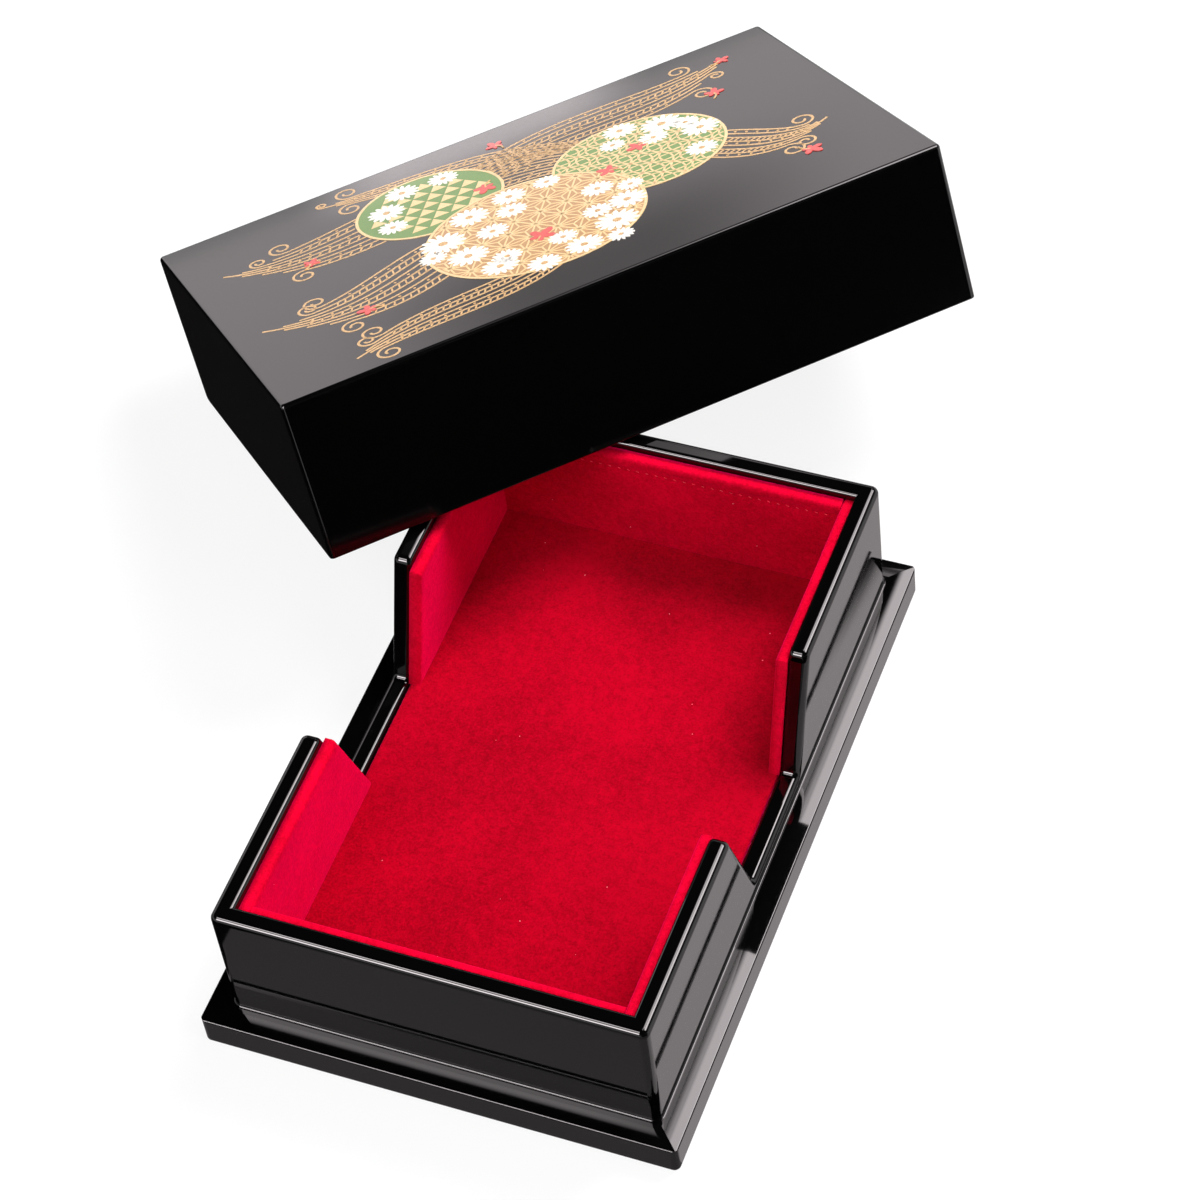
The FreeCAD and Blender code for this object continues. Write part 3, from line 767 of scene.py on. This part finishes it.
# Cards: name, centre, what it faces, width, height, brightness and the share of its edges that fades out
UP = (0, 0, 1)
DOWN = (0, 0, -1)
CARDS = (
    # On the floor, for what the upright sides mirror
    ("front_card", (0, -0.40, 0.0003), UP, 1.2, 0.66, 0.24, 0.002),
    ("right_card", (0.205, 0.10, 0.0004), UP, 0.32, 0.41, 0.72, 0.002),
    ("left_card", (-0.44, 0.0, 0.002), UP, 0.72, 1.4, 0.01, 0.002),
    ("near_right_card", (0.9, -0.7, 0.003), UP, 1.1, 1.1, 0.0, 0.2),
    # Behind the camera, so that what faces it stays black
    ("camera_side_card", (1.0, -0.9, 0.2), (-1.0, 0.9, -0.1), 2.4, 0.9, 0.0, 0.1),
    # Overhead to the right, for the right ledge and wall
    ("overhead_key_box", (0.6325, 0.68, 1.25), DOWN, 0.695, 1.00, 15.5, 0.3),
    ("overhead_key_edge", (0.11, 0.80, 1.26), DOWN, 0.46, 1.10, 10.0, 0.6),
    # Small dark ones, for the dark ledge beside the right notch and the dark lines that the walls mirror
    ("notch_dark_card", (0.0654, 0.0085, 0.052), UP, 0.0148, 0.049, 0.0, 0.0),
    ("right_rim_shade", (0.0730, 0.0, 0.0100), UP, 0.0009, 0.22, 0.0, 0.0),
    ("front_rim_shade", (0.0, -0.1085, 0.0100), UP, 0.15, 0.0009, 0.0, 0.0),
    # Overhead and in front, for the front ledge and the front rims
    ("overhead_fill_box", (-0.50, -0.70, 1.40), DOWN, 0.65, 0.34, 17.0, 0.6),
    ("overhead_fill_edge", (-0.50, -1.10, 1.35), DOWN, 0.9, 0.6, 4.2, 0.3),
    ("front_soft_box", (-0.45, -1.20, 0.83), (0.45, 1.20, -0.80), 0.9, 0.45, 24.0, 0.4),
    # Behind, for the lid's top
    ("back_wall_card", (-0.95, 1.35, 0.10), (0.86, -1.16, 0.0), 3.0, 1.2, 1.45, 0.2),
    ("back_low_strip", (-0.642, 1.025, 0.008), (0.545, -0.839, 0.0), 0.23, 0.046, 3.2, 0.6),
    ("back_dim_card", (-0.606, 1.048, 0.11), (0.545, -0.839, 0.0), 0.36, 0.11, 0.6, 0.85),
)


def flat_square(name, half, material):
    """A level square round the origin."""
    bm = bmesh.new()
    bmesh.ops.create_grid(bm, x_segments=1, y_segments=1, size=half)
    return mesh_object(name, bm, material)


def seen_by_gloss(tree):
    """1 for what the camera, a reflection or a refraction sees, and 0 for the light that falls, with the
    node that tells them apart."""
    path = add(tree, "ShaderNodeLightPath")
    first = add(tree, "ShaderNodeMath", {"operation": "MAXIMUM"},
                _0=path.outputs["Is Camera Ray"], _1=path.outputs["Is Glossy Ray"])
    both = add(tree, "ShaderNodeMath", {"operation": "MAXIMUM"},
               _0=first.outputs["Value"], _1=path.outputs["Is Transmission Ray"])
    return both.outputs["Value"], path


def light_world():
    """White as a background and in reflections near the horizon, dark overhead in reflections, and a
    plain soft light on everything."""
    world = bpy.data.worlds.new("studio")
    bpy.context.scene.world = world
    world.use_nodes = True
    tree = world.node_tree
    tree.nodes.clear()
    seen, path = seen_by_gloss(tree)
    direction = add(tree, "ShaderNodeTexCoord").outputs["Generated"]
    height = add(tree, "ShaderNodeSeparateXYZ", Vector=direction).outputs["Z"]
    ceiling = add(tree, "ShaderNodeMapRange", {"interpolation_type": "SMOOTHSTEP"}, Value=height,
                  From_Min=CEILING_BEGINS, From_Max=CEILING_IS_DARK, To_Min=1.0, To_Max=0.0)
    bright = add(tree, "ShaderNodeMath", {"operation": "MAXIMUM"},
                 _0=ceiling.outputs["Result"], _1=path.outputs["Is Camera Ray"])
    level = add(tree, "ShaderNodeMix", _0=seen, _2=WORLD_FILL, _3=bright.outputs["Value"])
    light = add(tree, "ShaderNodeBackground", Color=linear(STUDIO_WHITE), Strength=level.outputs[0])
    add(tree, "ShaderNodeOutputWorld", Surface=light.outputs["Background"])


def lay_floor():
    """White paper, which takes the soft shadow and is lifted to white for the camera and the gloss."""
    material, tree = new_material("white_paper_floor")
    seen, _ = seen_by_gloss(tree)
    diffuse = add(tree, "ShaderNodeBsdfDiffuse", Color=linear(PAPER_WHITE))
    white = add(tree, "ShaderNodeEmission", Color=linear(STUDIO_WHITE), Strength=1.0)
    lift = add(tree, "ShaderNodeMath", {"operation": "MULTIPLY"}, _0=seen, _1=FLOOR_LIFT)
    mixed = add(tree, "ShaderNodeMixShader", Fac=lift.outputs["Value"], _1=diffuse.outputs["BSDF"],
                _2=white.outputs["Emission"])
    close(tree, mixed.outputs["Shader"])
    floor = flat_square("floor", FLOOR_HALF, material)


def card(name, centre, facing, width, height, strength, fade):
    """A card that only reflections see: 0 is black, and fade is the share of its edges that fades out."""
    material, tree = new_material(name)
    place = add(tree, "ShaderNodeTexCoord").outputs["Object"]
    apart = add(tree, "ShaderNodeSeparateXYZ", Vector=place)
    edges = []
    for axis in ("X", "Y"):
        size = add(tree, "ShaderNodeMath", {"operation": "ABSOLUTE"}, _0=apart.outputs[axis])
        edges.append(add(tree, "ShaderNodeMapRange", {"interpolation_type": "SMOOTHSTEP"},
                         Value=size.outputs["Value"], From_Min=CARD_HALF * (1 - fade),
                         From_Max=CARD_HALF + CARD_RIM, To_Min=1.0, To_Max=0.0).outputs["Result"])
    shown = add(tree, "ShaderNodeMath", {"operation": "MULTIPLY"}, _0=edges[0], _1=edges[1])
    glow = add(tree, "ShaderNodeEmission", Color=linear(CARD_WHITE), Strength=strength)
    clear = add(tree, "ShaderNodeBsdfTransparent")
    mixed = add(tree, "ShaderNodeMixShader", Fac=shown.outputs["Value"], _1=clear.outputs["BSDF"],
                _2=glow.outputs["Emission"])
    close(tree, mixed.outputs["Shader"])
    made = flat_square(name, CARD_HALF, material)
    turn = Vector(facing).to_track_quat("Z", "Y")
    made.matrix_world = Matrix.LocRotScale(Vector(centre), turn, Vector((width, height, 1)))
    made.visible_camera = False
    made.visible_diffuse = False
    made.visible_shadow = False
    made.visible_transmission = False


def lamp(name, place, size, power):
    """A soft box that gives light and isn't seen in the gloss."""
    data = bpy.data.lights.new(name, "AREA")
    data.shape = "SQUARE"
    data.size = size
    data.energy = power
    made = new_object(name, data)
    made.location = place
    made.rotation_euler = (Vector(BOX_MIDDLE) - Vector(place)).to_track_quat("-Z", "Y").to_euler()
    made.visible_glossy = False


place_camera()
light_world()
lay_floor()
for row in LAMPS:
    lamp(*row)
for row in CARDS:
    card(*row)
bpy.context.scene.view_settings.view_transform = "Standard"
